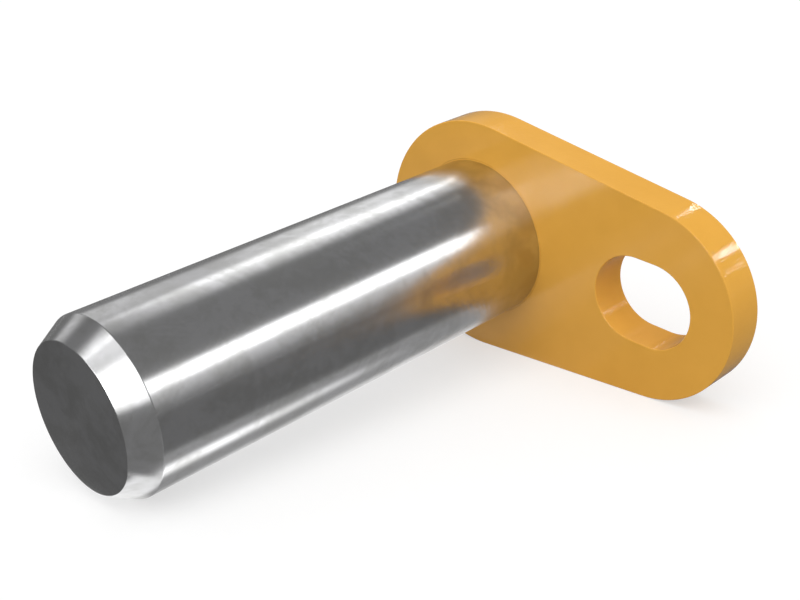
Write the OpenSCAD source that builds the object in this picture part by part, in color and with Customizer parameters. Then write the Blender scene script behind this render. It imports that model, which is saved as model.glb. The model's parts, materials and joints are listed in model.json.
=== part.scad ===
// Flagged linkage pin: a ground shank whose head end is let into a slotted flag plate and
// welded at the plate's back.
// The pieces are drawn in the pin's own frame: the shank's axis is Z, the flag's front face
// is z = 0, the tip is at +Z and the slot is towards +X. lie_down() then lays the pin on the
// floor as it comes to rest, with the slot towards +X and the tip towards -Y.

/* [Shank] */
// Diameter of the ground shank
shank_d = 40; // [30:1:46]
// Length from the flag's front face to the end of the tip
shank_l = 117; // [60:1:300]
// Length of the lead-in chamfer, along the axis
tip_l = 6; // [1:0.5:12]
// Angle between the lead-in chamfer and the axis
tip_angle = 30; // [10:1:45]
// How much the unground head end stands over the ground shank, on the radius
head_step = 0.3; // [0.25:0.05:1]

/* [Flag plate] */
// Thickness of the plate
flag_t = 10; // [6:0.5:20]
// Width of the plate round the shank
flag_w = 60; // [54:1:80]
// Width of the plate round the slot
slot_end_w = 48; // [36:1:60]
// Distance from the shank's axis to the slot's centre
slot_offset = 50; // [46:1:90]
// Clearance between the head end and its bore, on the radius
bore_gap = 0.05; // [0.05:0.05:0.3]

/* [Retaining slot] */
// Width of the slot, which clears the retaining bolt
slot_w = 21; // [10:0.5:25]
// Length of the slot from end to end, along the plate
slot_l = 26; // [22:0.5:34]

/* [Weld] */
// Leg of the chamfer round the head end's back edge, which the weld fills
head_bevel = 3; // [1:0.5:5]
// Leg of the bevel round the bore's back edge, which the weld fills
bore_bevel = 3; // [1:0.5:4]
// How far the weld laps over the outer edge of each bevel
weld_lap = 1; // [0.2:0.1:1.5]
// Height of the weld's crown over the plate's back face
crown_h = 1.2; // [0.4:0.1:2]

/* [Hidden] */
$fn = 120;

shank_r = shank_d / 2;
head_r = shank_r + head_step;
bore_r = head_r + bore_gap;
tip_r = shank_r - tip_l * tan(tip_angle);
flag_r = flag_w / 2;
slot_end_r = slot_end_w / 2;
slot_r = slot_w / 2;

// How far the flag's straight sides lean towards each other
taper = asin((flag_r - slot_end_r) / slot_offset);

// At rest one straight side of the flag and the edge of the tip's chamfer touch the floor
rest_turn = -taper;
rest_dip = atan((flag_r - shank_r) / (shank_l - tip_l));

// The crown is an arc over both bevels and their laps
crown_in = head_r - head_bevel - weld_lap;
crown_out = bore_r + bore_bevel + weld_lap;
crown_mid = (crown_in + crown_out) / 2;
crown_half = (crown_out - crown_in) / 2;
crown_r = (crown_half * crown_half + crown_h * crown_h) / (2 * crown_h);

// How far a cutting tool runs past the face that it opens
past = 1;

shank();
flag_plate();
weld_bead();

module shank() {
    color([0.62, 0.62, 0.63])
    lie_down()
    rotate_extrude()
    shank_profile();
}

module flag_plate() {
    color([0.93, 0.64, 0.22])
    lie_down()
    difference() {
        translate([0, 0, -flag_t])
        linear_extrude(flag_t)
        difference() {
            flag_outline();
            translate([slot_offset, 0])
            slot_outline();
        }
        rotate_extrude()
        bore_profile();
    }
}

module weld_bead() {
    color([0.90, 0.61, 0.20])
    lie_down()
    rotate_extrude()
    weld_profile();
}

// Half section of the shank, with the radius along X and the axis along Y
module shank_profile() {
    polygon([
        [0, -flag_t],
        [head_r - head_bevel, -flag_t],
        [head_r, head_bevel - flag_t],
        [head_r, 0],
        [shank_r, 0],
        [shank_r, shank_l - tip_l],
        [tip_r, shank_l],
        [0, shank_l]
    ]);
}

// Half section of what is cut out of the plate: the bore and the bevel at its back
module bore_profile() {
    polygon([
        [0, -flag_t - past],
        [bore_r + bore_bevel + past, -flag_t - past],
        [bore_r, bore_bevel - flag_t],
        [bore_r, past],
        [0, past]
    ]);
}

// Half section of the weld: what fills the groove between the bevels, under a crown
module weld_profile() {
    polygon([
        [head_r - head_bevel, -flag_t],
        [bore_r + bore_bevel, -flag_t],
        [bore_r, bore_bevel - flag_t],
        [bore_r, max(head_bevel, bore_bevel) - flag_t],
        [head_r, max(head_bevel, bore_bevel) - flag_t],
        [head_r, head_bevel - flag_t]
    ]);
    intersection() {
        translate([crown_mid, crown_r - crown_h - flag_t])
        circle(crown_r);
        translate([crown_in, -flag_t - crown_h - past])
        square([2 * crown_half, crown_h + past]);
    }
}

// Two round ends joined by their common tangents
module flag_outline() {
    circle(flag_r);
    translate([slot_offset, 0])
    circle(slot_end_r);
    polygon([
        flag_r * [sin(taper), -cos(taper)],
        [slot_offset, 0] + slot_end_r * [sin(taper), -cos(taper)],
        [slot_offset, 0] + slot_end_r * [sin(taper), cos(taper)],
        flag_r * [sin(taper), cos(taper)]
    ]);
}

// The slot about its own centre, with its length along the plate
module slot_outline() {
    reach = slot_l / 2 - slot_r;
    for (side = [-1, 1])
        translate([side * reach, 0])
        circle(slot_r);
    square([2 * reach, slot_w], center = true);
}

// From the pin's own frame to where it lies on the floor
module lie_down() {
    rotate([90 + rest_dip, 0, 0])
    rotate([0, 0, rest_turn])
    children();
}
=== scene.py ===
"""Looks of a flagged linkage pin: a ground steel shank welded into an enamelled flag plate.

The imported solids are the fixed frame. Each sub-assembly below is modelled in the pin's own
frame, where the shank's axis is Z, the flag's front face is z = 0, the tip is at +Z and the
slot is towards +X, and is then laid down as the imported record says. Lengths are in metres.
"""

import json
import logging
import math
from dataclasses import dataclass
from enum import Enum
from typing import Any, ClassVar

import bmesh
import bpy
from mathutils import Matrix, Vector, noise


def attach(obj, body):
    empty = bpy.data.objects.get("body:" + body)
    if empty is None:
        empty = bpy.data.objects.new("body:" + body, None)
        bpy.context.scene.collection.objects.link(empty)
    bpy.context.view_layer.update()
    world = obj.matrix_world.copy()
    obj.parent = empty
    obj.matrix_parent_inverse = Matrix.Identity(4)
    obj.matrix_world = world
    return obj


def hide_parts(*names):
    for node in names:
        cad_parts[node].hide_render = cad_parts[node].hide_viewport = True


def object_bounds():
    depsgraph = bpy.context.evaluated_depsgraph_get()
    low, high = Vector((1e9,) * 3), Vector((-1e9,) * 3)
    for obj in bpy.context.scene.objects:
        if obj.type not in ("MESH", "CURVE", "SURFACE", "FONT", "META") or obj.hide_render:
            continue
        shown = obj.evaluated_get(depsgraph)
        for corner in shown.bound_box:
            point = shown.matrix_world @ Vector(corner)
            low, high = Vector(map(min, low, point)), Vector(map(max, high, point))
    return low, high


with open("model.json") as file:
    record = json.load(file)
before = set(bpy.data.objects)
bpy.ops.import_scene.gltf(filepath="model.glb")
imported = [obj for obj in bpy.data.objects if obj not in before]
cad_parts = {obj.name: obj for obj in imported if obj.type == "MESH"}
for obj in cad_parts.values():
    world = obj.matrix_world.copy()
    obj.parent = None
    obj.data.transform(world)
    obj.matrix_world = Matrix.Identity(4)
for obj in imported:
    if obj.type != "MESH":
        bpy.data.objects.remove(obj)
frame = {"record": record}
CAD_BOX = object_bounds()

MM = 0.001
MERGE = 1e-7
SHARP = math.radians(40)
log = logging.getLogger("linkage_pin")

WHITE = (1.0, 1.0, 1.0, 1.0)

Socket = bpy.types.NodeSocket
Colour = tuple[float, float, float]
Span = tuple[float, float]

RISING: Span = (0.0, 1.0)
FALLING: Span = (1.0, 0.0)


class Slot(Enum):
    """The record's material slots."""

    STEEL = "ground_steel"
    ENAMEL = "flag_enamel"


class Body(Enum):
    """The bodies that pieces ride on."""

    ROOT = "root"


class SeenBy(Enum):
    """Which rays a stage piece shows itself to."""

    EVERYTHING = "everything"
    REFLECTIONS = "reflections"


def mount(name: str) -> dict[str, Any]:
    """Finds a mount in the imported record.

    Args:
        name: The mount's name.

    Returns:
        The mount as the record gives it.
    """
    return next(m for m in frame["record"]["mounts"] if m["name"] == name)


@dataclass(frozen=True)
class PinFrame:
    """The pin's own frame, as it lies on the floor."""

    origin: Vector
    along: Vector
    slotwards: Vector

    @classmethod
    def from_record(cls) -> "PinFrame":
        """Reads the frame from the shank's and the slot's mounts.

        Returns:
            The frame with its Z along the shank and its X towards the slot.
        """
        shank = mount("shank")
        origin = Vector(shank["pos_m"])
        along = Vector(shank["axis"]).normalized()
        reach = Vector(mount("retaining_slot")["pos_m"]) - origin
        slotwards = (reach - reach.dot(along) * along).normalized()
        return cls(origin, along, slotwards)

    def matrix(self) -> Matrix:
        """Gives the matrix from the pin's frame to the row's frame."""
        across = self.along.cross(self.slotwards)
        turn = Matrix((self.slotwards, across, self.along)).transposed()
        return Matrix.Translation(self.origin) @ turn.to_4x4()

    def row_to_pin(self) -> tuple[float, float, float]:
        """Gives the turn, as Euler angles, that takes the row's axes to the pin's."""
        return tuple(self.matrix().to_3x3().transposed().to_euler())

    def pin_to_row(self) -> tuple[float, float, float]:
        """Gives the turn, as Euler angles, that takes the pin's axes to the row's."""
        return tuple(self.matrix().to_3x3().to_euler())


PIN = PinFrame.from_record()


class Graph:
    """Adds shader nodes to one node tree and links them."""

    def __init__(self, tree: bpy.types.NodeTree) -> None:
        """Clears the tree.

        Args:
            tree: The node tree of a material or a world.
        """
        self.tree = tree
        tree.nodes.clear()

    def add(self, kind: str, inputs: dict[str | int, Any] | None = None,
            **settings: Any) -> bpy.types.Node:
        """Adds a node.

        Args:
            kind: The node's type name.
            inputs: What goes into its input sockets, by name or number: a socket to link, or a
                plain value.
            **settings: The node's own settings.

        Returns:
            The new node.
        """
        node = self.tree.nodes.new(kind)
        for name, value in settings.items():
            setattr(node, name, value)
        for name, value in (inputs or {}).items():
            socket = node.inputs[name]
            if isinstance(value, Socket):
                self.tree.links.new(value, socket)
            else:
                socket.default_value = value
        return node

    def maths(self, operation: str, first: Any, second: Any = 0.0) -> Socket:
        """Adds a Math node.

        Args:
            operation: The operation's name.
            first: The first socket or number.
            second: The second socket or number.

        Returns:
            The result.
        """
        return self.add("ShaderNodeMath", {0: first, 1: second}, operation=operation).outputs[0]

    def between(self, value: Socket, span: Span, ends: Span = RISING, smooth: bool = False) -> Socket:
        """Maps a value from one range to another and clamps it.

        Args:
            value: The value to map.
            span: The values between which the result changes.
            ends: The results at the span's two ends.
            smooth: Whether the change eases in and out.

        Returns:
            The mapped value.
        """
        node = self.add(
            "ShaderNodeMapRange",
            {
                "Value": value,
                "From Min": span[0],
                "From Max": span[1],
                "To Min": ends[0],
                "To Max": ends[1],
            },
            interpolation_type="SMOOTHSTEP" if smooth else "LINEAR",
        )
        return node.outputs["Result"]

    def blend(self, share: Socket, first: Any, second: Colour) -> Socket:
        """Blends two colours.

        Args:
            share: How much of the second one there is, from 0 to 1.
            first: The first colour, or the socket that gives it.
            second: The second colour.

        Returns:
            The blended colour.
        """
        node = self.add("ShaderNodeMix", {"Factor": share}, data_type="RGBA")
        for name, colour in (("A", first), ("B", second)):
            socket = next(s for s in node.inputs if s.name == name and s.type == "RGBA")
            if isinstance(colour, Socket):
                self.tree.links.new(colour, socket)
            else:
                socket.default_value = (*colour, 1.0)
        return next(s for s in node.outputs if s.type == "RGBA")

    def pin_space(self) -> Socket:
        """Gives the Object coordinates turned into the pin's own axes."""
        place = self.add("ShaderNodeTexCoord").outputs["Object"]
        return self.add(
            "ShaderNodeMapping", {"Vector": place, "Rotation": PIN.row_to_pin()}
        ).outputs["Vector"]

    def noise(self, place: Socket, pitch: float, detail: float = 2.0, roughness: float = 0.5,
              distortion: float = 0.0) -> Socket:
        """Adds a noise texture.

        Args:
            place: The coordinates that it is read at.
            pitch: The size of its lumps, in metres.
            detail: How many finer octaves it has.
            roughness: How strong the finer octaves are.
            distortion: How much it is warped.

        Returns:
            The noise, about 0.5 on average.
        """
        node = self.add(
            "ShaderNodeTexNoise",
            {
                "Vector": place,
                "Scale": 1 / pitch,
                "Detail": detail,
                "Roughness": roughness,
                "Distortion": distortion,
            },
        )
        return node.outputs["Fac"]

    def relief(self, height: Socket, depth: float, normal: Socket | None = None) -> Socket:
        """Turns a height into a surface normal.

        Args:
            height: The height, from 0 to 1.
            depth: What a height of 1 stands for, in metres.
            normal: A normal from another relief that this one goes on.

        Returns:
            The normal.
        """
        inputs: dict[str, Any] = {"Strength": 1.0, "Distance": depth, "Height": height}
        if normal is not None:
            inputs["Normal"] = normal
        return self.add("ShaderNodeBump", inputs).outputs["Normal"]

    def show(self, shader: Socket, output: str = "ShaderNodeOutputMaterial") -> None:
        """Links a shader to the tree's output.

        Args:
            shader: The shader.
            output: The type name of the output node.
        """
        self.add(output, {"Surface": shader})


def new_material(name: str) -> tuple[bpy.types.Material, Graph]:
    """Makes an empty node material.

    Args:
        name: The material's name.

    Returns:
        The material and the graph of its nodes.
    """
    material = bpy.data.materials.new(name)
    material.use_nodes = True
    return material, Graph(material.node_tree)


@dataclass(frozen=True)
class GroundSteel:
    """Ground, polished and hard-chromed steel: faint cloudy smudges, and brown blotches near the flag.

    The grinding marks run round the shank, so its gloss spreads along the axis and stays
    sharp round it. Smudges fill the marks and weaken this.
    """

    clean: Colour = (0.68, 0.68, 0.69)
    smudged: Colour = (0.565, 0.565, 0.56)
    near_flag_brown: Colour = (0.50, 0.46, 0.40)
    polish: float = 0.175
    dull: float = 0.265
    dullest: float = 0.265
    grinding: float = 0.62
    smudged_grinding: float = 0.56
    grinding_turn: float = 0.25
    smudge_pitch: float = 14 * MM
    smudge_share: float = 0.7
    haze_pitch: float = 3.5 * MM
    cloud_span: Span = (0.35, 0.7)
    tint_span: Span = (0.40, 0.62)
    wave_pitch: float = 5 * MM
    wave_depth: float = 0.006 * MM
    brown_pitch: float = 8 * MM
    brown_edge: Span = (0.40, 0.66)
    brown_length: Span = (6.5 * MM, 26 * MM)
    brown_cover: float = 0.6
    handled_height: Span = (3 * MM, 12 * MM)
    handled_length: Span = (15 * MM, 45 * MM)
    handled_dull: float = 0.10
    handled_frost: float = 30.0
    fleck_pitch: float = 0.7 * MM
    fleck_edge: Span = (0.72, 0.80)
    fleck_rise: float = 0.05
    frost_pitch: float = 1.1 * MM
    frost_depth: float = 0.002 * MM

    def _clouds(self, graph: Graph, place: Socket) -> Socket:
        """Adds large smudges with finer haze in them.

        Args:
            graph: The graph of the material.
            place: The coordinates in the pin's frame.

        Returns:
            How smudged the steel is, about 0.5 on average.
        """
        smudge = graph.noise(place, self.smudge_pitch, detail=4.0, roughness=0.6, distortion=0.8)
        haze = graph.noise(place, self.haze_pitch, detail=3.0, roughness=0.6)
        smudge = graph.maths("MULTIPLY", smudge, self.smudge_share)
        haze = graph.maths("MULTIPLY", haze, 1 - self.smudge_share)
        return graph.maths("ADD", smudge, haze)

    def _brown_near_flag(self, graph: Graph, place: Socket, along: Socket) -> Socket:
        """Adds brown blotches that thin out away from the flag.

        Args:
            graph: The graph of the material.
            place: The coordinates in the pin's frame.
            along: The distance from the flag's front.

        Returns:
            How brown the steel is, from 0 to 1.
        """
        blotch = graph.noise(place, self.brown_pitch, detail=2.0, roughness=0.5, distortion=0.3)
        cover = graph.between(blotch, self.brown_edge, smooth=True)
        near = graph.between(along, self.brown_length, FALLING, smooth=True)
        return graph.maths("MULTIPLY", cover, near)

    def _handled(self, graph: Graph, height: Socket, along: Socket) -> Socket:
        """Marks the shank's lower side, close to the flag, where hands have dulled the polish.

        Args:
            graph: The graph of the material.
            height: The pin's Y, which is the height over the shank's axis.
            along: The distance from the flag's front.

        Returns:
            How much it is dulled, from 0 to 1.
        """
        low = graph.between(height, self.handled_height, FALLING, smooth=True)
        near = graph.between(along, self.handled_length, FALLING, smooth=True)
        return graph.maths("MULTIPLY", low, near)

    def _marks(self, graph: Graph, x: Socket, y: Socket) -> Socket:
        """Gives the direction of the grinding marks.

        Args:
            graph: The graph of the material.
            x: The pin's X.
            y: The pin's Y.

        Returns:
            The direction, in the row's frame.
        """
        marks = graph.add("ShaderNodeCombineXYZ", {"X": graph.maths("MULTIPLY", y, -1.0), "Y": x})
        return graph.add(
            "ShaderNodeMapping",
            {"Vector": marks.outputs["Vector"], "Rotation": PIN.pin_to_row()},
            vector_type="VECTOR",
        ).outputs["Vector"]

    def material(self) -> bpy.types.Material:
        """Builds the finish's material."""
        material, graph = new_material("ground_steel")
        place = graph.pin_space()
        axes = graph.add("ShaderNodeSeparateXYZ", {"Vector": place}).outputs
        cloud = self._clouds(graph, place)
        # A brown tint in blotches, strongest at the flag and gone by 26 mm from it.
        brown = self._brown_near_flag(graph, place, axes["Z"])
        tint = graph.blend(graph.between(cloud, self.tint_span, smooth=True), self.clean, self.smudged)
        tint = graph.blend(graph.maths("MULTIPLY", brown, self.brown_cover), tint, self.near_flag_brown)
        fleck = graph.noise(place, self.fleck_pitch, detail=1.0)
        fleck = graph.between(fleck, self.fleck_edge, (0.0, self.fleck_rise))
        polish = graph.between(cloud, self.cloud_span, (self.polish, self.dull))
        grinding = graph.between(cloud, self.cloud_span, (self.grinding, self.smudged_grinding))
        handled = self._handled(graph, axes["Y"], axes["Z"])
        dulled = graph.maths("ADD", graph.maths("MULTIPLY", handled, self.handled_dull), fleck)
        wave = graph.relief(graph.noise(place, self.wave_pitch, detail=1.0), self.wave_depth)
        frost = graph.noise(place, self.frost_pitch, detail=2.0)
        frosted = graph.between(handled, RISING, (1.0, self.handled_frost))
        frost = graph.maths("MULTIPLY", frost, frosted)
        shader = graph.add(
            "ShaderNodeBsdfPrincipled",
            {
                "Metallic": 1.0,
                "Base Color": tint,
                "Roughness": graph.maths("MINIMUM", graph.maths("ADD", polish, dulled), self.dullest),
                "Normal": graph.relief(frost, self.frost_depth, wave),
                "Anisotropic": grinding,
                "Anisotropic Rotation": self.grinding_turn,
                "Tangent": self._marks(graph, axes["X"], axes["Y"]),
            },
        )
        graph.show(shader.outputs["BSDF"])
        return material


@dataclass(frozen=True)
class GlossEnamel:
    """Orange-yellow gloss enamel with a fine orange peel.

    At the plate's cut edges it is glossier, and the cut's ridges show through it.
    """

    colour: Colour = (0.86, 0.44, 0.071)
    deep: Colour = (0.83, 0.42, 0.066)
    gloss: float = 0.12
    edge_gloss: float = 0.05
    shine: float = 0.28
    refraction: float = 1.5
    mottle_pitch: float = 9 * MM
    mottle_span: Span = (0.35, 0.7)
    peel_pitch: float = 0.5 * MM
    peel_depth: float = 0.008 * MM
    ridge_pitch: float = 0.5 * MM
    ridge_stretch: float = 0.4
    ridge_depth: float = 0.03 * MM
    edge_span: Span = (0.3, 0.8)

    def _edges(self, graph: Graph) -> Socket:
        """Finds the plate's cut edges.

        Args:
            graph: The graph of the material.

        Returns:
            1 on the edges, and 0 on the plate's faces.
        """
        normal = graph.add("ShaderNodeTexCoord").outputs["Normal"]
        facing = graph.add("ShaderNodeVectorMath", {0: normal, 1: PIN.along}, operation="DOT_PRODUCT")
        flatness = graph.maths("ABSOLUTE", facing.outputs["Value"])
        return graph.between(flatness, self.edge_span, FALLING)

    def _ridges(self, graph: Graph, place: Socket, edge: Socket) -> Socket:
        """Adds ridges that run across the plate's cut edges, and none on its faces.

        Args:
            graph: The graph of the material.
            place: The coordinates in the pin's frame.
            edge: 1 on the edges, and 0 on the faces.

        Returns:
            The ridges' height, from 0 to 1.
        """
        axes = graph.add("ShaderNodeSeparateXYZ", {"Vector": place}).outputs
        drawn = graph.maths("MULTIPLY", axes["Z"], self.ridge_stretch)
        stretched = graph.add("ShaderNodeCombineXYZ", {"X": axes["X"], "Y": axes["Y"], "Z": drawn})
        ridges = graph.noise(stretched.outputs["Vector"], self.ridge_pitch, detail=2.0)
        return graph.maths("MULTIPLY", ridges, edge)

    def material(self) -> bpy.types.Material:
        """Builds the finish's material."""
        material, graph = new_material("flag_enamel")
        place = graph.pin_space()
        mottle = graph.between(graph.noise(place, self.mottle_pitch, detail=3.0), self.mottle_span)
        peel = graph.noise(place, self.peel_pitch, detail=2.0)
        edge = self._edges(graph)
        ridges = self._ridges(graph, place, edge)
        shader = graph.add(
            "ShaderNodeBsdfPrincipled",
            {
                "Base Color": graph.blend(mottle, self.colour, self.deep),
                "Roughness": graph.between(edge, RISING, (self.gloss, self.edge_gloss)),
                "IOR": self.refraction,
                "Specular IOR Level": self.shine,
                "Normal": graph.relief(ridges, self.ridge_depth, graph.relief(peel, self.peel_depth)),
            },
        )
        graph.show(shader.outputs["BSDF"])
        return material


def ring_profile(bm: bmesh.types.BMesh, points: list[Span], closed: bool = False) -> None:
    """Draws a half section in the XZ plane, as a chain of edges.

    Args:
        bm: The mesh that gets the chain.
        points: The section's corners, as radius and height.
        closed: Whether the last corner joins the first.
    """
    chain = [bm.verts.new((radius, 0.0, height)) for radius, height in points]
    following = chain[1:] + chain[:1] if closed else chain[1:]
    for start, end in zip(chain, following):
        bm.edges.new((start, end))


def spin_full(bm: bmesh.types.BMesh, steps: int) -> None:
    """Spins everything in a mesh once round Z and makes a closed, outward skin of it.

    Args:
        bm: The mesh with the section.
        steps: How many facets the turn has.
    """
    bmesh.ops.spin(
        bm,
        geom=bm.verts[:] + bm.edges[:],
        cent=(0.0, 0.0, 0.0),
        axis=(0.0, 0.0, 1.0),
        dvec=(0.0, 0.0, 0.0),
        angle=math.tau,
        space=Matrix.Identity(4),
        steps=steps,
        use_merge=True,
        use_normal_flip=False,
        use_duplicate=False,
    )
    bmesh.ops.remove_doubles(bm, verts=bm.verts[:], dist=MERGE)
    bmesh.ops.recalc_face_normals(bm, faces=bm.faces[:])


def break_edges(bm: bmesh.types.BMesh, edges: list[bmesh.types.BMEdge], width: float,
                segments: int = 3) -> None:
    """Rounds edges over.

    Args:
        bm: The mesh.
        edges: The edges to round.
        width: How far the round reaches into each face.
        segments: How many facets the round has.
    """
    bmesh.ops.bevel(
        bm,
        geom=edges,
        offset=width,
        offset_type="OFFSET",
        affect="EDGES",
        segments=segments,
        profile=0.5,
        material=-1,
        clamp_overlap=True,
    )


def corners(bm: bmesh.types.BMesh, least: float = math.radians(20)) -> list[bmesh.types.BMEdge]:
    """Finds the edges where faces meet at a corner.

    Args:
        bm: The mesh.
        least: The smallest angle between the faces that counts.

    Returns:
        The edges.
    """
    return [e for e in bm.edges if len(e.link_faces) == 2 and e.calc_face_angle() > least]


def finished_piece(name: str, bm: bmesh.types.BMesh, slot: Slot, material: bpy.types.Material,
                   stands_for: str) -> bpy.types.Object:
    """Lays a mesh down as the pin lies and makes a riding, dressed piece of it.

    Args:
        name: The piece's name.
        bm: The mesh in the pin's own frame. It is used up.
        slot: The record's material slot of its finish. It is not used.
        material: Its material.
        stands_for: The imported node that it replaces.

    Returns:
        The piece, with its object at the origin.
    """
    bmesh.ops.transform(bm, matrix=PIN.matrix(), verts=bm.verts[:])
    for face in bm.faces:
        face.smooth = True
    mesh = bpy.data.meshes.new(name)
    bm.to_mesh(mesh)
    bm.free()
    mesh.set_sharp_from_angle(angle=SHARP)
    mesh.materials.append(material)
    piece = bpy.data.objects.new(name, mesh)
    bpy.context.scene.collection.objects.link(piece)
    shading = piece.modifiers.new("face_weighted_shading", "WEIGHTED_NORMAL")
    shading.keep_sharp = True
    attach(piece, Body.ROOT.value)
    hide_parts(stands_for)
    return piece


@dataclass
class Shank:
    """The turned and ground bar: its bright body and tip, and the head end in the flag's bore."""

    radius: float = mount("shank")["dims"]["r_mm"] * MM
    straight: float = mount("shank")["dims"]["length_mm"] * MM
    tip_length: float = 6 * MM
    tip_angle: float = math.radians(30)
    tip_break: float = 0.15 * MM
    head_step: float = 0.3 * MM
    head_bevel: float = 3 * MM
    head_length: float = 10 * MM
    facets: int = 256

    @property
    def head_radius(self) -> float:
        """The radius of the unground head end."""
        return self.radius + self.head_step

    def bright_body(self, steel: bpy.types.Material) -> bpy.types.Object:
        """Builds the part that is ground: the body, the lead-in chamfer and the end face.

        Args:
            steel: The material of ground steel.

        Returns:
            The piece.
        """
        tip = self.straight + self.tip_length
        tip_radius = self.radius - self.tip_length * math.tan(self.tip_angle)
        bm = bmesh.new()
        ring_profile(
            bm,
            [
                (0.0, 0.0),
                (self.radius, 0.0),
                (self.radius, self.straight),
                (tip_radius, tip),
                (0.0, tip),
            ],
        )
        spin_full(bm, self.facets)
        rims = [e for e in corners(bm) if e.verts[0].co.z > self.straight / 2]
        break_edges(bm, rims, self.tip_break)
        return finished_piece("shank_ground", bm, Slot.STEEL, steel, "shank")

    def head_end(self, enamel: bpy.types.Material) -> bpy.types.Object:
        """Builds the head end, which is painted with the flag.

        Args:
            enamel: The flag's material.

        Returns:
            The piece.
        """
        bm = bmesh.new()
        ring_profile(
            bm,
            [
                (0.0, -self.head_length),
                (self.head_radius - self.head_bevel, -self.head_length),
                (self.head_radius, self.head_bevel - self.head_length),
                (self.head_radius, 0.0),
                (0.0, 0.0),
            ],
        )
        spin_full(bm, self.facets)
        return finished_piece("shank_head", bm, Slot.ENAMEL, enamel, "shank")


@dataclass
class FlagPlate:
    """The flag: a plate with two round ends, bored for the shank's head end and slotted for a bolt."""

    shank: Shank
    shank_end: float = 30 * MM
    slot_end: float = 24 * MM
    slot_offset: float = 50 * MM
    slot_half_width: float = 10.5 * MM
    slot_half_length: float = 13 * MM
    bore_gap: float = 0.05 * MM
    bore_bevel: float = 3 * MM
    edge_round: float = 0.25 * MM
    rim_angle: float = math.radians(60)
    slack: float = 0.01 * MM
    quarter_facets: int = 40

    @property
    def thickness(self) -> float:
        """The plate's thickness, which the shank's head end fills from face to face."""
        return self.shank.head_length

    @property
    def bore(self) -> float:
        """The radius of the bore for the shank's head end."""
        return self.shank.head_radius + self.bore_gap

    def _arc(self, bm: bmesh.types.BMesh, start: bmesh.types.BMVert, centre: float,
             angle: float) -> bmesh.types.BMVert:
        """Carries an outline on along an arc.

        Args:
            bm: The mesh.
            start: The vertex that the arc starts from.
            centre: Where on the X axis the arc's centre is.
            angle: How far it turns, counter-clockwise.

        Returns:
            The arc's last vertex.
        """
        made = bmesh.ops.spin(
            bm,
            geom=[start],
            cent=(centre, 0.0, 0.0),
            axis=(0.0, 0.0, 1.0),
            dvec=(0.0, 0.0, 0.0),
            angle=angle,
            space=Matrix.Identity(4),
            steps=max(2, round(abs(angle) / (math.pi / 2) * self.quarter_facets)),
            use_merge=False,
            use_normal_flip=False,
            use_duplicate=False,
        )
        return next(v for v in made["geom_last"] if isinstance(v, bmesh.types.BMVert))

    def _line(self, bm: bmesh.types.BMesh, start: bmesh.types.BMVert, x: float,
              y: float) -> bmesh.types.BMVert:
        """Carries an outline on along a straight line.

        Args:
            bm: The mesh.
            start: The vertex that the line starts from.
            x: Where it ends.
            y: Where it ends.

        Returns:
            The line's last vertex.
        """
        end = bm.verts.new((x, y, 0.0))
        bm.edges.new((start, end))
        return end

    def _half_outline(self, bm: bmesh.types.BMesh) -> None:
        """Draws the upper half of the plate, which goes round the bore and the slot, as one face.

        Args:
            bm: The mesh.
        """
        taper = math.asin((self.shank_end - self.slot_end) / self.slot_offset)
        reach = self.slot_half_length - self.slot_half_width
        first = bm.verts.new((-self.shank_end, 0.0, 0.0))
        end = self._arc(bm, first, 0.0, -(math.pi / 2 + taper))
        tangent = Vector((math.sin(taper), math.cos(taper))) * self.slot_end
        end = self._line(bm, end, self.slot_offset + tangent.x, tangent.y)
        end = self._arc(bm, end, self.slot_offset, -(math.pi / 2 - taper))
        end = self._line(bm, end, self.slot_offset + self.slot_half_length, 0.0)
        end = self._arc(bm, end, self.slot_offset + reach, math.pi / 2)
        end = self._line(bm, end, self.slot_offset - reach, self.slot_half_width)
        end = self._arc(bm, end, self.slot_offset - reach, math.pi / 2)
        end = self._line(bm, end, self.bore, 0.0)
        end = self._arc(bm, end, 0.0, math.pi)
        bm.edges.new((end, first))
        bmesh.ops.contextual_create(bm, geom=bm.edges[:])

    def plate(self, enamel: bpy.types.Material) -> bpy.types.Object:
        """Builds the plate.

        Args:
            enamel: Its material.

        Returns:
            The piece.
        """
        bm = bmesh.new()
        self._half_outline(bm)
        bmesh.ops.mirror(bm, geom=bm.verts[:] + bm.edges[:] + bm.faces[:], axis="Y", merge_dist=MERGE)
        bmesh.ops.remove_doubles(bm, verts=bm.verts[:], dist=MERGE)
        grown = bmesh.ops.extrude_face_region(bm, geom=bm.faces[:])["geom"]
        back = [v for v in grown if isinstance(v, bmesh.types.BMVert)]
        bmesh.ops.translate(bm, verts=back, vec=(0.0, 0.0, -self.thickness))
        bmesh.ops.recalc_face_normals(bm, faces=bm.faces[:])
        rims = [e for e in corners(bm, self.rim_angle) if not self._is_bore_rim(e)]
        break_edges(bm, rims, self.edge_round)
        weld_rim = [e for e in corners(bm, self.rim_angle) if self._is_weld_rim(e)]
        break_edges(bm, weld_rim, self.bore_bevel, segments=1)
        return finished_piece("flag_plate_enamelled", bm, Slot.ENAMEL, enamel, "flag_plate")

    def _is_bore_rim(self, edge: bmesh.types.BMEdge) -> bool:
        """Tells whether an edge lies on the bore's rim, at either face."""
        return all(abs(v.co.xy.length - self.bore) < self.slack for v in edge.verts)

    def _is_weld_rim(self, edge: bmesh.types.BMEdge) -> bool:
        """Tells whether an edge lies on the bore's rim at the back, which is bevelled for the weld."""
        at_back = all(v.co.z < -self.thickness / 2 for v in edge.verts)
        return at_back and self._is_bore_rim(edge)


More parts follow.
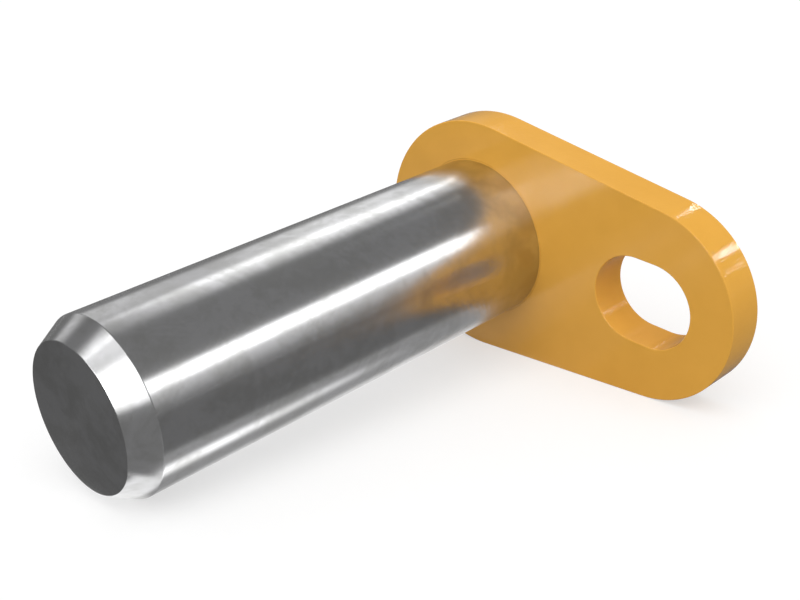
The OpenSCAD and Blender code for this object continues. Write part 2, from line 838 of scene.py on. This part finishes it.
@dataclass
class WeldBead:
    """The weld round the head end at the flag's back, laid down in short overlapping puddles."""

    shank: Shank
    flag: FlagPlate
    lap: float = 1 * MM
    crown: float = 1.2 * MM
    crown_power: float = 1.5
    puddles: int = 44
    puddle_front: float = 8.0
    ripple: float = 0.22 * MM
    toe_ripple: float = 0.35
    deepest: float = 0.8
    lean: float = 1.1
    drift: float = 2.5
    drift_waves: float = 3.0
    drift_layer: float = 0.3
    wander: float = 0.25 * MM
    wander_waves: float = 6.0
    facets: int = 704
    crown_facets: int = 18

    @property
    def inner(self) -> float:
        """The radius of the crown's inner toe."""
        return self.shank.head_radius - self.shank.head_bevel - self.lap

    @property
    def outer(self) -> float:
        """The radius of the crown's outer toe."""
        return self.flag.bore + self.flag.bore_bevel + self.lap

    @property
    def middle(self) -> float:
        """The radius of the crown's top."""
        return (self.inner + self.outer) / 2

    @property
    def half_width(self) -> float:
        """Half of the crown's width."""
        return (self.outer - self.inner) / 2

    def _shape(self, bm: bmesh.types.BMesh) -> None:
        """Presses the puddles' ripples into the crown and lets its toes wander.

        Args:
            bm: The spun bead.
        """
        for vert in bm.verts:
            height = -self.flag.thickness - vert.co.z
            if height < MERGE:
                continue
            radius = vert.co.xy.length
            angle = math.atan2(vert.co.y, vert.co.x)
            share = (radius - self.middle) / self.half_width
            rise = 1 - share * share
            spot = Vector((math.cos(angle), math.sin(angle), self.drift_layer))
            drift = self.drift * noise.noise(spot * self.drift_waves)
            phase = self.puddles * angle + drift - self.lean * math.pi * rise
            step = (phase / math.tau) % 1.0
            dip = (1 - step) ** 2 * min(1.0, self.puddle_front * step)
            sink = self.ripple * dip * (self.toe_ripple + (1 - self.toe_ripple) * rise)
            vert.co.z += min(sink, height * self.deepest)
            spot.z = share
            toe = self.wander * noise.noise(spot * self.wander_waves)
            vert.co.xy *= 1 + toe * abs(share) / radius

    def bead(self, enamel: bpy.types.Material) -> bpy.types.Object:
        """Builds the bead.

        Args:
            enamel: Its material, since it is painted with the flag.

        Returns:
            The piece.
        """
        back = -self.flag.thickness
        turns = [math.pi * i / self.crown_facets for i in range(1, self.crown_facets)]
        arc = [
            (self.middle - self.half_width * math.cos(turn),
             back - self.crown * math.sin(turn) ** self.crown_power)
            for turn in turns
        ]
        groove = [
            (self.outer, back),
            (self.flag.bore + self.flag.bore_bevel, back),
            (self.flag.bore, back + self.flag.bore_bevel),
            (self.shank.head_radius, back + self.shank.head_bevel),
            (self.shank.head_radius - self.shank.head_bevel, back),
            (self.inner, back),
        ]
        bm = bmesh.new()
        ring_profile(bm, arc + groove, closed=True)
        spin_full(bm, self.facets)
        self._shape(bm)
        return finished_piece("weld_bead_painted", bm, Slot.ENAMEL, enamel, "weld_bead")


def heading(azimuth: float, elevation: float) -> Vector:
    """Gives a direction in the row's frame.

    Args:
        azimuth: The angle from +Y towards +X, in degrees.
        elevation: The angle above the horizon, in degrees.

    Returns:
        The unit vector.
    """
    turn, rise = math.radians(azimuth), math.radians(elevation)
    return Vector((math.sin(turn) * math.cos(rise), math.cos(turn) * math.cos(rise), math.sin(rise)))


def stage_piece(name: str, bm: bmesh.types.BMesh, material: bpy.types.Material,
                seen_by: SeenBy) -> bpy.types.Object:
    """Makes a piece of the studio.

    Args:
        name: Its name.
        bm: Its mesh, which is used up.
        material: Its material.
        seen_by: The rays that it shows itself to.

    Returns:
        The stage piece.
    """
    mesh = bpy.data.meshes.new(name)
    bm.to_mesh(mesh)
    bm.free()
    mesh.materials.append(material)
    piece = bpy.data.objects.new(name, mesh)
    bpy.context.scene.collection.objects.link(piece)
    if seen_by is SeenBy.REFLECTIONS:
        piece.visible_camera = False
        piece.visible_diffuse = False
        piece.visible_transmission = False
        piece.visible_shadow = False
    return piece


@dataclass(frozen=True)
class Card:
    """A soft-edged panel that gloss mirrors: a softbox if it is bright, a black card if it is dark.

    Its fades are the widths of its soft edges: at the low and the high end of its width, then
    of its height.
    """

    name: str
    level: float
    width: float
    height: float
    fades: tuple[float, float, float, float]

    def _cover(self, graph: Graph, axis: Socket, half: float, low_fade: float,
               high_fade: float) -> Socket:
        """Gives how much the panel covers along one of its axes, from 0 at its edges to 1.

        Args:
            graph: The graph of its material.
            axis: The coordinate along the axis.
            half: Half of the panel's size there.
            low_fade: How wide the fade is at the low edge.
            high_fade: How wide the fade is at the high edge.

        Returns:
            The cover.
        """
        rising = graph.between(axis, (-half, low_fade - half), RISING, smooth=True)
        falling = graph.between(axis, (half - high_fade, half), FALLING, smooth=True)
        return graph.maths("MULTIPLY", rising, falling)

    def _material(self) -> bpy.types.Material:
        """Builds a plain glow that fades out towards the panel's edges."""
        material, graph = new_material(self.name)
        place = graph.add("ShaderNodeTexCoord").outputs["Object"]
        axes = graph.add("ShaderNodeSeparateXYZ", {"Vector": place}).outputs
        across = self._cover(graph, axes[0], self.width / 2, *self.fades[:2])
        upward = self._cover(graph, axes[1], self.height / 2, *self.fades[2:])
        glow = graph.add("ShaderNodeEmission", {"Color": WHITE, "Strength": self.level})
        clear = graph.add("ShaderNodeBsdfTransparent")
        cover = graph.maths("MULTIPLY", across, upward)
        mix = graph.add("ShaderNodeMixShader", {0: cover, 1: clear.outputs[0], 2: glow.outputs[0]})
        graph.show(mix.outputs[0])
        return material

    def _panel(self) -> bpy.types.Object:
        """Builds the panel, flat about its own origin."""
        bm = bmesh.new()
        bmesh.ops.create_grid(bm, x_segments=1, y_segments=1, size=0.5)
        bmesh.ops.scale(bm, vec=(self.width, self.height, 1.0), verts=bm.verts[:])
        return stage_piece(self.name, bm, self._material(), SeenBy.REFLECTIONS)

    def hang(self, place: Vector, facing: Matrix) -> bpy.types.Object:
        """Builds the panel and puts it in its place.

        Args:
            place: Where its middle is.
            facing: The turn that takes its own axes to the row's.

        Returns:
            The stage piece.
        """
        piece = self._panel()
        piece.matrix_world = Matrix.Translation(place) @ facing.to_4x4()
        return piece


@dataclass(frozen=True)
class FarCard:
    """A panel of the studio's dome, placed by the direction in which it is seen.

    All its angles are in degrees, and so are its size and fades.
    """

    name: str
    level: float
    azimuth: float
    elevation: float
    wide: float
    high: float
    fades: tuple[float, float, float, float]
    roll: float = 0.0
    share: float = 1.0

    def hang(self, distance: float) -> bpy.types.Object:
        """Builds the panel, facing the pin.

        Args:
            distance: The studio's distance, of which this panel hangs at its share.

        Returns:
            The stage piece.
        """
        distance *= self.share
        size = [2 * distance * math.tan(math.radians(angle / 2)) for angle in (self.wide, self.high)]
        fades = tuple(distance * math.radians(fade) for fade in self.fades)
        out = heading(self.azimuth, self.elevation)
        upright = (-out).to_track_quat("Z", "Y").to_matrix()
        facing = upright @ Matrix.Rotation(math.radians(self.roll), 3, "Z")
        return Card(self.name, self.level, *size, fades).hang(out * distance, facing)


@dataclass(frozen=True)
class ShankStrip:
    """A long panel beside the shank, which draws a straight band along it.

    Turns are angles round the shank's axis, in degrees, counted from the slot's side upwards.
    Slopes are how far beyond the flag something is, over its distance from the axis. The panel
    reaches from one turn to the other and from one slope to the other.
    """

    name: str
    level: float
    turns: Span
    turn_fades: Span
    slopes: Span
    slope_fades: Span
    lean: float = 0.0

    def hang(self, distance: float) -> bpy.types.Object:
        """Builds the panel, facing the shank's axis.

        Args:
            distance: How far from the axis it hangs.

        Returns:
            The stage piece.
        """
        turn = math.radians(sum(self.turns) / 2)
        away = Vector((math.cos(turn), math.sin(turn), 0.0))
        beyond = Vector((0.0, 0.0, -1.0))
        backwards = beyond.cross(away)
        axes = Matrix((beyond, backwards, -away)).transposed()
        facing = axes @ Matrix.Rotation(math.radians(self.lean), 3, "Z")
        place = (away + beyond * sum(self.slopes) / 2) * distance
        length = distance * (self.slopes[1] - self.slopes[0])
        width = distance * math.radians(self.turns[1] - self.turns[0])
        fades = [distance * fade for fade in self.slope_fades]
        fades += [distance * math.radians(fade) for fade in reversed(self.turn_fades)]
        card = Card(self.name, self.level, length, width, tuple(fades))
        return card.hang(PIN.matrix() @ place, PIN.matrix().to_3x3() @ facing)


@dataclass(frozen=True)
class FloorCard:
    """A card that lies on the floor, where only gloss sees it.

    It reaches from one X to the other across and from one Y to the other along, in the row's
    frame. A higher layer covers a lower one.
    """

    name: str
    level: float
    across: Span
    across_fades: Span
    along: Span
    along_fades: Span
    layer: int = 1

    def hang(self, floor: float, lift: float) -> bpy.types.Object:
        """Builds the card.

        Args:
            floor: The floor's height.
            lift: How much higher each layer lies.

        Returns:
            The stage piece.
        """
        width = self.across[1] - self.across[0]
        length = self.along[1] - self.along[0]
        card = Card(self.name, self.level, width, length, (*self.across_fades, *self.along_fades))
        place = Vector((sum(self.across) / 2, sum(self.along) / 2, floor + self.layer * lift))
        return card.hang(place, Matrix.Identity(3))


@dataclass(frozen=True)
class SoftSun:
    """A wide, even light from one side."""

    name: str
    level: float
    spread: float
    azimuth: float
    elevation: float

    def hang(self) -> bpy.types.Object:
        """Builds the light, which no gloss mirrors.

        Returns:
            The light.
        """
        light = bpy.data.lights.new(self.name, "SUN")
        light.energy = self.level * math.pi
        light.angle = math.radians(self.spread)
        lamp = bpy.data.objects.new(self.name, light)
        lamp.rotation_mode = "QUATERNION"
        lamp.rotation_quaternion = heading(self.azimuth, self.elevation).to_track_quat("Z", "Y")
        lamp.visible_glossy = False
        bpy.context.scene.collection.objects.link(lamp)
        return lamp


@dataclass
class Studio:
    """A pale floor under soft even light, with the panels that the polished shank mirrors."""

    ambient: float = 0.60
    floor_colour: float = 0.50
    floor_glow: float = 0.53
    floor_half: float = 20.0
    dome_radius: float = 6.0
    dome_facets: int = 64
    dome_level: float = 0.22
    panel_distance: float = 2.0
    card_lift: float = 0.08 * MM

    suns: ClassVar[tuple[SoftSun, ...]] = (
        SoftSun("key_sun", level=0.30, spread=65, azimuth=125, elevation=60),
        SoftSun("front_sun", level=0.23, spread=60, azimuth=155, elevation=42),
    )
    strips: ClassVar[tuple[ShankStrip, ...]] = (
        ShankStrip("left_skirt", 1.25, (107, 134), (18, 1), (0.40, 1.25), (0.20, 0.50)),
        ShankStrip("left_fill", 1.15, (134, 180), (1, 13), (0.50, 1.04), (0.20, 0.26)),
        ShankStrip("low_left_fill", 0.75, (139, 176), (3, 8), (0.16, 0.57), (0.10, 0.08)),
        ShankStrip("left_tube", 2.8, (128, 142), (4.5, 4), (0.31, 1.00), (0.42, 0.05), lean=5.5),
        ShankStrip("right_skirt", 0.75, (3, 32), (24, 1), (0.20, 1.02), (0.10, 0.03)),
        ShankStrip("right_tube", 2.8, (27.3, 46), (4, 4.5), (0.20, 0.99), (0.10, 0.03), lean=-8),
        ShankStrip("first_glint", 30.0, (107, 111), (1, 1), (1.26, 1.35), (0.02, 0.02)),
        ShankStrip("second_glint", 58.0, (43.6, 48.0), (1, 1), (1.23, 1.33), (0.02, 0.02)),
        ShankStrip("third_glint", 15.0, (25, 28), (1, 1), (1.23, 1.33), (0.02, 0.02)),
        ShankStrip("slot_glint", 20.0, (36, 45), (2, 2), (1.035, 1.065), (0.01, 0.01)),
        ShankStrip("low_slot_glint", 3.0, (150, 156), (2, 2), (1.06, 1.13), (0.01, 0.02)),
    )
    panels: ClassVar[tuple[FarCard, ...]] = (
        FarCard("far_left_fill", 0.80, -98, 27, wide=20, high=28, fades=(9, 9, 9, 9)),
        FarCard("front_softbox", 14.5, 155, 24.4, 13.5, 46, (2, 6, 16, 22), roll=-39, share=0.95),
        FarCard("front_sheet", 1.9, 141, 30, wide=42, high=50, fades=(4, 6, 8, 11)),
        FarCard("front_tail", 5.0, 180, 37, wide=44, high=18, fades=(8, 22, 8, 6), share=0.97),
        FarCard("top_dip", 1.3, 171, 58, wide=30, high=18, fades=(8, 6, 7, 7)),
        FarCard("top_softbox", 2.1, -146, 59, wide=31, high=16, fades=(7, 25, 5, 5)),
    )
    floor_cards: ClassVar[tuple[FloorCard, ...]] = (
        FloorCard("left_grey", 0.20, (-2.9, -0.022), (0.01, 0.14), (-0.20, 2.0), (0.05, 0.05)),
        FloorCard("right_dark", 0.17, (0.022, 2.9), (0.012, 0.01), (-0.112, 2.0), (0.002, 0.01)),
        FloorCard("under_grey", 0.36, (0.0065, 0.032), (0.005, 0.005), (-0.11, 0.002), (0.001, 0.001), 2),
        FloorCard("under_white", 1.15, (-0.06, 0.0065), (0.01, 0.008), (-0.11, 0.002), (0.001, 0.001), 3),
        FloorCard("tip_white", 1.15, (-0.06, 0.02), (0.01, 0.003), (-0.1165, -0.109), (0.001, 0.001), 3),
        FloorCard("streak", 1.8, (0.016, 0.0245), (0.004, 0.004), (-0.11, -0.02), (0.001, 0.075), 4),
        FloorCard("tip_right_dark", 0.222, (0.0165, 2.9), (0.003, 0.01), (-2.9, -0.1105), (0.01, 0.003), 5),
        FloorCard("tip_dark", 0.13, (-2.0, 0.019), (0.01, 0.003), (-2.9, -0.1155), (0.01, 0.001), 6),
        FloorCard("behind_dark", 0.20, (-0.1, 0.2), (0.02, 0.02), (0.014, 0.4), (0.004, 0.04), 3),
    )

    def _background_rays(self, graph: Graph) -> Socket:
        """Gives 1 for the rays that show the white background, and 0 for those that carry light."""
        rays = graph.add("ShaderNodeLightPath").outputs
        seen = graph.maths("MAXIMUM", rays["Is Camera Ray"], rays["Is Glossy Ray"])
        return graph.maths("MAXIMUM", seen, rays["Is Transmission Ray"])

    def _world(self) -> None:
        """Builds the even light from all round, before a white background."""
        world = bpy.data.worlds.new("studio")
        world.use_nodes = True
        world.cycles.sampling_method = "NONE"
        graph = Graph(world.node_tree)
        light = graph.add("ShaderNodeBackground", {"Color": WHITE, "Strength": self.ambient})
        white = graph.add("ShaderNodeBackground", {"Color": WHITE, "Strength": 1.0})
        seen = self._background_rays(graph)
        mix = graph.add("ShaderNodeMixShader", {0: seen, 1: light.outputs[0], 2: white.outputs[0]})
        graph.show(mix.outputs[0], "ShaderNodeOutputWorld")
        bpy.context.scene.world = world

    def _floor(self) -> bpy.types.Object:
        """Builds the floor, which keeps the shadow and shows white beyond it."""
        material, graph = new_material("studio_floor")
        paint = graph.add("ShaderNodeBsdfDiffuse", {"Color": (*(self.floor_colour,) * 3, 1.0)})
        glow = graph.add(
            "ShaderNodeEmission",
            {"Strength": graph.maths("MULTIPLY", self._background_rays(graph), self.floor_glow)},
        )
        both = graph.add("ShaderNodeAddShader", {0: paint.outputs[0], 1: glow.outputs[0]})
        graph.show(both.outputs[0])
        bm = bmesh.new()
        bmesh.ops.create_grid(bm, x_segments=1, y_segments=1, size=self.floor_half)
        floor = stage_piece("studio_floor", bm, material, SeenBy.EVERYTHING)
        floor.location = (0.0, 0.0, CAD_BOX[0].z)
        return floor

    def _dome(self) -> bpy.types.Object:
        """Builds the dim dome that the panels hang before."""
        material, graph = new_material("studio_dome")
        glow = graph.add("ShaderNodeEmission", {"Color": WHITE, "Strength": self.dome_level})
        graph.show(glow.outputs[0])
        bm = bmesh.new()
        bmesh.ops.create_uvsphere(
            bm, u_segments=self.dome_facets, v_segments=self.dome_facets // 2, radius=self.dome_radius
        )
        bmesh.ops.bisect_plane(
            bm,
            geom=bm.verts[:] + bm.edges[:] + bm.faces[:],
            plane_co=(0.0, 0.0, 0.0),
            plane_no=(0.0, 0.0, 1.0),
            clear_inner=True,
        )
        dome = stage_piece("studio_dome", bm, material, SeenBy.REFLECTIONS)
        dome.location = (0.0, 0.0, CAD_BOX[0].z)
        return dome

    def build(self) -> list[bpy.types.Object]:
        """Builds the whole studio.

        Returns:
            Its floor, dome, lights and panels.
        """
        self._world()
        floor = CAD_BOX[0].z
        stage = [self._floor(), self._dome()]
        stage += [sun.hang() for sun in self.suns]
        stage += [strip.hang(self.panel_distance) for strip in self.strips]
        stage += [panel.hang(self.panel_distance) for panel in self.panels]
        stage += [card.hang(floor, self.card_lift) for card in self.floor_cards]
        return stage


@dataclass(frozen=True)
class PhotoCamera:
    """The camera at the photograph's place, worked out from the outlines in it."""

    place: tuple[float, float, float] = (0.207479, -0.229042, 0.095031)
    aim: tuple[float, float, float] = (0.010781, -0.038472, -0.004104)
    roll: float = math.radians(-1.3354)
    lens: float = 57.341
    film: float = 36.0
    nearest: float = 10 * MM
    farthest: float = 100.0

    def build(self) -> bpy.types.Object:
        """Builds the camera and makes it the scene's own.

        Returns:
            The camera.
        """
        data = bpy.data.cameras.new("photo_camera")
        data.sensor_fit = "HORIZONTAL"
        data.sensor_width = self.film
        data.lens = self.lens
        data.clip_start = self.nearest
        data.clip_end = self.farthest
        camera = bpy.data.objects.new("photo_camera", data)
        bpy.context.scene.collection.objects.link(camera)
        look = Vector(self.aim) - Vector(self.place)
        upright = look.to_track_quat("-Z", "Y").to_matrix().to_4x4()
        facing = upright @ Matrix.Rotation(self.roll, 4, "Z")
        camera.matrix_world = Matrix.Translation(self.place) @ facing
        bpy.context.scene.camera = camera
        return camera


def plain_view() -> None:
    """Shows colours as they are written."""
    bpy.context.scene.view_settings.view_transform = "Standard"


def main() -> None:
    """Builds the pin's pieces, the studio and the camera, in that order."""
    logging.basicConfig(level=logging.INFO, format="%(name)s: %(message)s")
    plain_view()
    steel = GroundSteel().material()
    enamel = GlossEnamel().material()
    shank = Shank()
    flag = FlagPlate(shank)
    weld = WeldBead(shank, flag)
    pieces = [
        shank.bright_body(steel),
        shank.head_end(enamel),
        flag.plate(enamel),
        weld.bead(enamel),
    ]
    for piece in pieces:
        log.info("%s has %d faces", piece.name, len(piece.data.polygons))
    stage = Studio().build()
    log.info("the studio has %d pieces", len(stage))
    camera = PhotoCamera().build()
    log.info("the camera has a %.1f mm lens", camera.data.lens)


if __name__ == "__main__":
    main()
